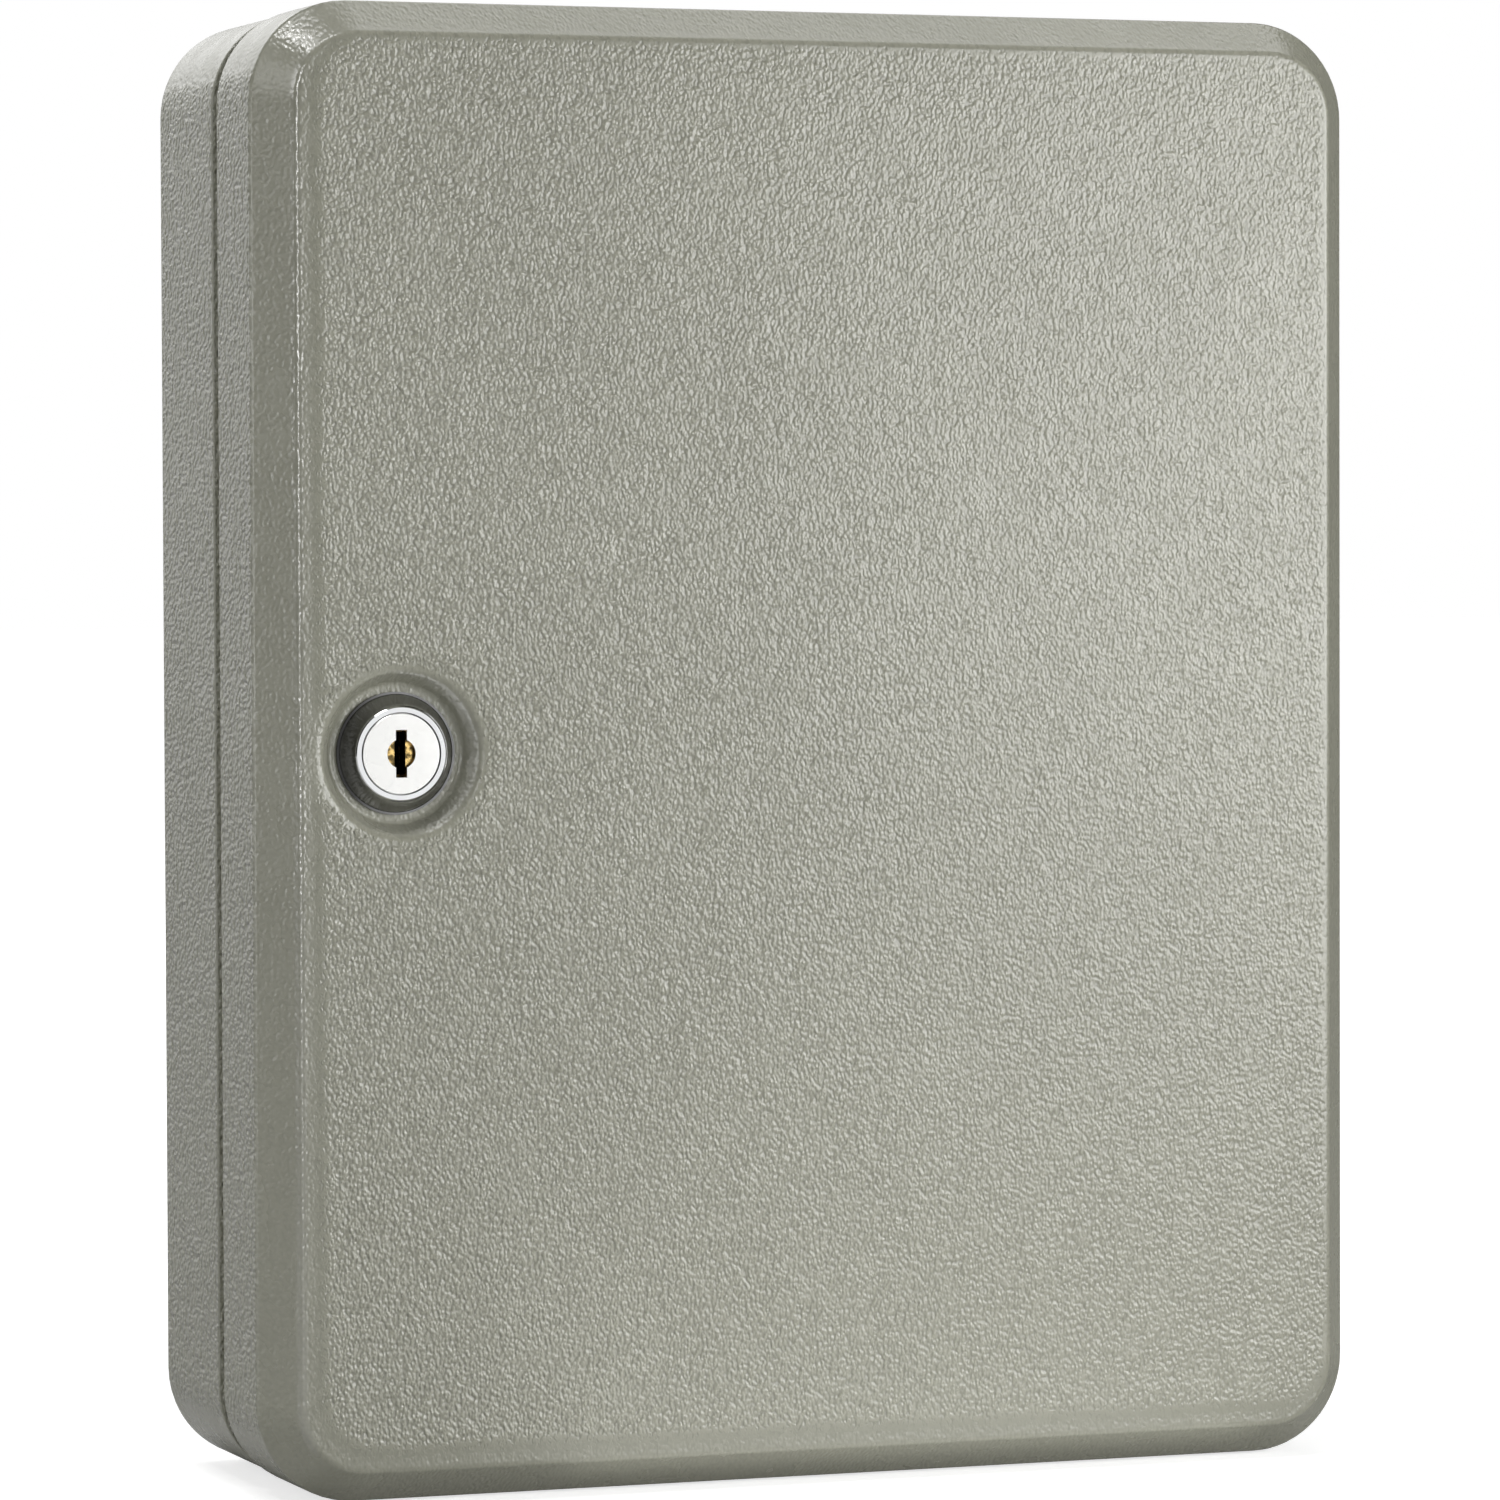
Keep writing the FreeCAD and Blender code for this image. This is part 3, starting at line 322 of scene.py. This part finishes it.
def door_coat():
    """The door's coat: pebbled on the face and skirt, smoother on the bevel and in the dish.

    On the face the pebbles stop short of the crease on the left and at the bottom, and they
    are coarser on the left. The left crease is glossy, and the smooth border inside the crease
    is painted a little darker, as painted shade.
    """
    graph = Graph("door_coat")
    low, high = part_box("door_shell")
    crease_low = (low.x + BEVEL_RUN, low.z + BEVEL_RUN)
    crease_high = (high.x - BEVEL_RUN, high.z - BEVEL_RUN)
    height = pebbles(graph)
    ragged = graph.math("MULTIPLY_ADD", height, BORDER_RAGGED, -BORDER_RAGGED / 2)
    coat_low = tuple(edge + SMOOTH_BORDER for edge in crease_low)
    outside = rounded_box_distance(graph, coat_low, crease_high, BORDER_RADIUS)
    face = graph.ramp(graph.math("ADD", outside, ragged), *COAT_EDGE, 1.0, 0.0)
    from_lock = graph.math("ADD", distance_from_lock(graph), ragged)
    dish = graph.ramp(from_lock, *DISH_EDGE)
    across, back, _ = graph.axes()
    coarse = graph.ramp(across, *FACE_FINER, FACE_LEFT, FACE_RIGHT)
    skirt = graph.ramp(back, *(low.y + edge for edge in SKIRT_EDGE))
    on_face = graph.math("MULTIPLY", graph.math("MULTIPLY", face, dish), coarse)
    on_skirt = graph.math("MULTIPLY", graph.math("MULTIPLY", skirt, flat_spots(graph)), SIDES)
    texture = graph.math("ADD", graph.math("MAXIMUM", on_face, on_skirt), SMOOTH)
    crease = rounded_box_distance(graph, crease_low, crease_high, CREASE_RADIUS)
    on_crease = graph.ramp(graph.math("ABSOLUTE", crease), *GLOSS_WIDTH, 1.0, 0.0)
    on_left = graph.ramp(across, *(crease_low[0] + edge for edge in GLOSS_LEFT), 1.0, 0.0)
    gloss = graph.math("MULTIPLY", on_crease, on_left)
    # Painted shade: the smooth border inside the crease, on the left and at the bottom, is
    # darkened in its colour.
    border = graph.math("MULTIPLY", graph.math("SUBTRACT", 1.0, face), dish)
    inside = graph.ramp(crease, *CREASE_EDGE, 1.0, 0.0)
    depth = graph.math("MULTIPLY_ADD", graph.math("MULTIPLY", border, inside), -0.12, 1.0)
    return coat_surface(graph, texture, height, gloss, depth)


def body_coat():
    """The cabinet's coat: pebbled on its flat walls, smooth on the rounded corners."""
    graph = Graph("body_coat")
    texture = graph.math("MULTIPLY_ADD", flat_spots(graph), SIDES, SMOOTH)
    return coat_surface(graph, texture, pebbles(graph))


def smooth_coat():
    """The thinner, nearly smooth coat on the frame, the standards and the rails."""
    graph = Graph("smooth_coat")
    return coat_surface(graph, SMOOTH, pebbles(graph))


def plated(name, colour, roughness):
    """Plated steel with a mottled sheen and faint scratches."""
    graph = Graph(name)
    cloud = graph.noise(3 * MM, detail=4.0, roughness=0.6)
    grain = graph.noise(0.5 * MM, detail=2.0, where=graph.stretched(1.0, 1.0, 0.12))
    dark = tuple(channel * 0.8 for channel in colour)
    return graph.finish(
        Base_Color=graph.mix(graph.ramp(cloud, 0.3, 0.7), dark, colour),
        Metallic=1.0,
        Roughness=graph.ramp(cloud, 0.25, 0.75, roughness * 0.8, roughness * 1.3),
        Normal=graph.bump(grain, 0.01 * MM),
    )


def chrome():
    """Bright chrome on the ring round the plug; its cone is painted darker, most of all on the
    left, as painted reflection.
    """
    graph = Graph("chrome")
    low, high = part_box("lock_bezel")
    haze = graph.noise(5 * MM, detail=3.0)
    hair = graph.noise(0.3 * MM, detail=2.0, where=graph.stretched(0.1, 1.0, 1.0))
    across = graph.axes()[0]
    # Painted reflection: the cone's colour darkens towards the left and past the rim, standing in
    # for the dark surroundings and shaded paint it mirrors.
    side = graph.ramp(across, low.x + 1 * MM, (low.x + high.x) / 2, 0.10, 0.52)
    radius = distance_from_lock(graph)
    cone = graph.ramp(radius, RING_RADIUS, RING_RADIUS + 0.2 * MM)
    rim_painted_reflection = graph.ramp(radius, RIM_RADIUS, RIM_RADIUS + 0.3 * MM, 1.0, 0.4)
    cloudy = graph.ramp(haze, 0.2, 0.8, 0.85, 1.1)
    shade = graph.math("MULTIPLY", graph.math("MULTIPLY", side, rim_painted_reflection), cloudy)
    dark = graph.add("CombineXYZ", X=shade, Y=shade, Z=shade).outputs[0]
    return graph.finish(
        Base_Color=graph.mix(cone, CHROME, dark),
        Metallic=1.0,
        Roughness=graph.ramp(haze, 0.3, 0.8, 0.05, 0.12),
        Normal=graph.bump(hair, 0.002 * MM),
    )


def plug_metal():
    """Nickel on the plug's face, with bare brass in the key guide and a keyway painted near-black
    as painted shade.
    """
    graph = Graph("plug_metal")
    low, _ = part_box("lock_plug")
    back = graph.axes()[1]
    inside = graph.ramp(back, *(low.y + depth for depth in GUIDE_DEPTH))
    core = graph.ramp(distance_from_lock(graph), *GUIDE_RADIUS, 1.0, 0.0)
    bare = graph.math("MULTIPLY", inside, core)
    # Painted shade: deeper in the keyway the colour fades to near-black.
    keyway_painted_shade = graph.ramp(back, *(low.y + depth for depth in KEYWAY_DEPTH), 0.0, 0.97)
    # The key guide's brass is blotched at random with near-black brass.
    guide_blotches = graph.ramp(graph.noise(1.4 * MM, detail=3.0), 0.42, 0.58)
    guide = graph.mix(guide_blotches, BRASS, tuple(channel * 0.12 for channel in BRASS))
    hollow_painted_shade = graph.mix(keyway_painted_shade, guide, INK_AND_KEYWAY_SHADE)
    wear = graph.noise(2.5 * MM, detail=4.0)
    worn = tuple(channel * 0.86 for channel in NICKEL)
    face = graph.mix(graph.ramp(wear, 0.35, 0.7), NICKEL, worn)
    return graph.finish(
        Base_Color=graph.mix(bare, face, hollow_painted_shade),
        Metallic=1.0,
        Roughness=graph.math("MULTIPLY_ADD", bare, 0.12, graph.ramp(wear, 0.3, 0.8, 0.12, 0.22)),
        Normal=graph.bump(wear, 0.004 * MM),
    )


def brass():
    """Stamped brass, tarnished in patches."""
    graph = Graph("brass")
    tarnish = graph.noise(2 * MM, detail=3.0)
    return graph.finish(
        Base_Color=graph.mix(tarnish, BRASS, tuple(channel * 0.6 for channel in BRASS)),
        Metallic=1.0,
        Roughness=graph.ramp(tarnish, 0.2, 0.8, 0.2, 0.45),
        Normal=graph.bump(graph.noise(0.4 * MM), 0.01 * MM),
    )


def card():
    """White plastic strip with a fine matt grain."""
    graph = Graph("card")
    age = graph.noise(30 * MM, detail=3.0)
    return graph.finish(
        Base_Color=graph.mix(graph.ramp(age, 0.4, 0.8, 0.0, 0.5), CARD, CARD_AGED),
        Roughness=0.5,
        Normal=graph.bump(graph.noise(0.3 * MM), 0.01 * MM),
    )


def ink():
    """Printed black, a little uneven."""
    graph = Graph("ink")
    print_noise = graph.noise(0.4 * MM, detail=2.0)
    return graph.finish(
        Base_Color=graph.mix(print_noise, INK_AND_KEYWAY_SHADE, INK_WORN),
        Roughness=0.6,
    )


def dress_nodes():
    """Give each CAD node its material."""
    coat = smooth_coat()
    zinc = plated("zinc_plate", ZINC, 0.30)
    spring = plated("spring_steel", SPRING_STEEL, 0.32)
    stamped = brass()
    plastic = card()
    by_node = {
        "door_shell": door_coat(),
        "body_shell": body_coat(),
        "front_frame": coat,
        "rail_standard_left": coat,
        "rail_standard_right": coat,
        "hinge_leaf_body": zinc,
        "hinge_leaf_door": zinc,
        "hinge_pin": zinc,
        "lock_housing": plated("die_cast", CASTING, 0.42),
        "lock_bezel": chrome(),
        "lock_nut": zinc,
        "lock_plug": plug_metal(),
        "cam_stop_washer": zinc,
        "lock_cam": zinc,
        "cam_screw": zinc,
        "spring_washer": spring,
        "wafer_springs_upper": spring,
        "wafer_springs_lower": spring,
        "wafers_upper": stamped,
        "wafers_lower": stamped,
    }
    for number in range(1, RAIL_COUNT + 1):
        by_node[f"key_rail_{number}"] = coat
        by_node[f"number_strip_{number}"] = plastic
    for node, material in by_node.items():
        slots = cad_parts[node].data.materials
        slots.clear()
        slots.append(material)


def digits_mesh(texts_and_places, name):
    """One mesh of raised printed numbers, each at its place, standing upright and facing front."""
    upright = Matrix.Rotation(math.radians(90), 4, "X")
    joined = bmesh.new()
    for text, place in texts_and_places:
        curve = bpy.data.curves.new(name, "FONT")
        curve.body = text
        curve.size = DIGIT_HEIGHT / DIGIT_SHARE
        curve.align_x = "CENTER"
        curve.align_y = "CENTER"
        curve.extrude = PRINT_THICK / 2
        letters = bpy.data.objects.new(name, curve)
        mesh = bpy.data.meshes.new_from_object(letters)
        mesh.transform(Matrix.Translation(place) @ upright)
        joined.from_mesh(mesh)
        bpy.data.objects.remove(letters)
        bpy.data.curves.remove(curve)
        bpy.data.meshes.remove(mesh)
    mesh = bpy.data.meshes.new(name)
    joined.to_mesh(mesh)
    joined.free()
    return mesh


def number_strips():
    """Print the numbers 1 to 48 on the strips, one above each hook."""
    black = ink()
    for rail in range(1, RAIL_COUNT + 1):
        low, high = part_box(f"number_strip_{rail}")
        up = (low.z + high.z) / 2
        first = (low.x + high.x) / 2 - (HOOKS_PER_RAIL - 1) / 2 * HOOK_PITCH
        places = []
        for hook in range(HOOKS_PER_RAIL):
            number = (rail - 1) * HOOKS_PER_RAIL + hook + 1
            places.append((str(number), Vector((first + hook * HOOK_PITCH, low.y, up))))
        name = f"strip_numbers_{rail}"
        piece = bpy.data.objects.new(name, digits_mesh(places, name))
        piece.data.materials.append(black)
        bpy.context.scene.collection.objects.link(piece)
        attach(piece, f"rail_{rail}")


def floor():
    """A white floor that the cabinet stands on; the camera sees only the contact shadow."""
    shape = bmesh.new()
    bmesh.ops.create_grid(shape, x_segments=1, y_segments=1, size=FLOOR_REACH)
    mesh = bpy.data.meshes.new("floor")
    shape.to_mesh(mesh)
    shape.free()
    piece = bpy.data.objects.new("floor", mesh)
    piece.location.z = CAD_LOW.z - FLOOR_GAP
    bpy.context.scene.collection.objects.link(piece)
    graph = Graph("floor")
    tone = graph.noise(400 * MM, detail=3.0)
    seen = graph.add("LightPath").outputs["Is Camera Ray"]
    reach = graph.add("VectorMath", {"operation": "LENGTH"}, Vector=graph.place()).outputs["Value"]
    glow = graph.ramp(reach, *GLOW_GROWS, FLOOR_GLOW, 1.0)
    unseen = graph.math("SUBTRACT", 1.0, seen)
    on_right = graph.ramp(graph.axes()[0], *FLAG_EDGE, 0.0, FLAG_SHARE)
    flag = graph.math("MULTIPLY", on_right, unseen)
    mesh.materials.append(
        graph.finish(
            Base_Color=graph.mix(flag, graph.mix(tone, *FLOOR_TONES), BLACK),
            Roughness=0.9,
            Emission_Color=(1.0, 1.0, 1.0),
            Emission_Strength=graph.math("MULTIPLY", seen, glow),
        )
    )


def area_light(name, width, height, brightness):
    """A rectangular light of a given radiance, which the camera does not see."""
    light = bpy.data.lights.new(name, "AREA")
    light.shape = "RECTANGLE"
    light.size = width
    light.size_y = height
    light.energy = math.pi * light.size * light.size_y * brightness
    piece = bpy.data.objects.new(name, light)
    piece.visible_camera = False
    bpy.context.scene.collection.objects.link(piece)
    return piece


def softbox(name, azimuth, elevation, width, height, brightness, distance=SOFTBOX_FAR):
    """A soft box aimed at the cabinet: where it stands and how wide it looks, in degrees.

    Azimuth 0 is straight in front of the cabinet, and positive to the right of that.
    """
    wide, high = (2 * distance * math.tan(math.radians(angle / 2)) for angle in (width, height))
    piece = area_light(name, wide, high, brightness)
    turn, lift = math.radians(azimuth), math.radians(elevation)
    away = Vector(
        (math.sin(turn) * math.cos(lift), -math.cos(turn) * math.cos(lift), math.sin(lift))
    )
    piece.location = away * distance
    piece.rotation_mode = "QUATERNION"
    piece.rotation_quaternion = (-away).to_track_quat("-Z", "Y")


def bounce_card():
    """A glowing card flat on the floor in front, which lights the lower bevel from below."""
    piece = area_light("floor_card", BOUNCE_WIDE, BOUNCE_DEEP, BOUNCE_GLOW)
    piece.location = (BOUNCE_RIGHT, CAD_LOW.y - BOUNCE_DEEP / 2, CAD_LOW.z)
    piece.rotation_euler.x = math.pi


def room_light():
    """A white room to the camera; it lights the cabinet more from behind than from in front."""
    world = bpy.data.worlds.new("studio")
    bpy.context.scene.world = world
    world.use_nodes = True
    nodes, links = world.node_tree.nodes, world.node_tree.links
    nodes.clear()
    direction = nodes.new("ShaderNodeTexCoord")
    parts = nodes.new("ShaderNodeSeparateXYZ")
    fall = nodes.new("ShaderNodeMapRange")
    fall.inputs["From Min"].default_value = ROOM_TURNS[0]
    fall.inputs["From Max"].default_value = ROOM_TURNS[1]
    fall.inputs["To Min"].default_value = ROOM_FRONT
    fall.inputs["To Max"].default_value = ROOM_BEHIND
    lit = nodes.new("ShaderNodeBackground")
    seen = nodes.new("ShaderNodeBackground")
    path = nodes.new("ShaderNodeLightPath")
    either = nodes.new("ShaderNodeMixShader")
    output = nodes.new("ShaderNodeOutputWorld")
    lit.inputs["Color"].default_value = (1, 1, 1, 1)
    seen.inputs["Color"].default_value = (1, 1, 1, 1)
    links.new(direction.outputs["Generated"], parts.inputs[0])
    links.new(parts.outputs["Y"], fall.inputs["Value"])
    links.new(fall.outputs[0], lit.inputs["Strength"])
    links.new(path.outputs["Is Camera Ray"], either.inputs[0])
    links.new(lit.outputs[0], either.inputs[1])
    links.new(seen.outputs[0], either.inputs[2])
    links.new(either.outputs[0], output.inputs[0])


def studio():
    """Large soft boxes close in front on the right, and smaller ones all round.

    The crease boxes shine along the left crease, the sparkle makes glints at the top left
    corner, and the lock card brightens the lock's face.
    """
    softbox("key", 30, 6, 26, 30, 6.4, SOFTBOX_CLOSE)
    softbox("key_low", 34, -16, 30, 20, 3.2, SOFTBOX_CLOSE)
    softbox("key_right", 50, 9, 14, 26, 9.8, SOFTBOX_CLOSE)
    softbox("left_rim", -90, 25, 22, 24, 2.2)
    softbox("left_low", -105, -2, 20, 20, 4.5)
    softbox("over_right", 144, 58, 34, 30, 1.8)
    softbox("over_front", -60, 72, 24, 18, 9.5)
    softbox("back_high", 180, 26, 50, 22, 1.7)
    softbox("back_middle", -165, 4, 30, 20, 0.85)
    softbox("crease_strip", -34, 4, 8, 44, 4.8)
    softbox("crease_upper", -34, 14, 8, 24, 4.6)
    softbox("sparkle", -101, 59, 2.4, 2.4, 260)
    softbox("lock_card", 12, -1.5, 14, 16, 1.0, SOFTBOX_CLOSE)
    bounce_card()


def camera():
    """A long lens to the left of the door's normal, a little above its middle."""
    yaw, pitch, roll = (math.radians(angle) for angle in CAMERA_TURN)
    forward = Vector(
        (math.sin(yaw) * math.cos(pitch), math.cos(yaw) * math.cos(pitch), -math.sin(pitch))
    )
    right = Vector((math.cos(yaw), -math.sin(yaw), 0.0))
    up = right.cross(forward)
    side = right * math.cos(roll) + up * math.sin(roll)
    top = up * math.cos(roll) - right * math.sin(roll)
    lens = bpy.data.cameras.new("camera")
    lens.lens = LENS_LENGTH
    lens.sensor_width = SENSOR_WIDTH
    lens.clip_end = 100.0
    view = bpy.data.objects.new("camera", lens)
    place = Matrix((side, top, -forward)).transposed().to_4x4()
    place.translation = CAMERA_TARGET - forward * CAMERA_DISTANCE
    view.matrix_world = place
    bpy.context.scene.collection.objects.link(view)
    bpy.context.scene.camera = view


dress_nodes()
number_strips()
floor()
room_light()
studio()
camera()
bpy.context.scene.view_settings.view_transform = "Standard"
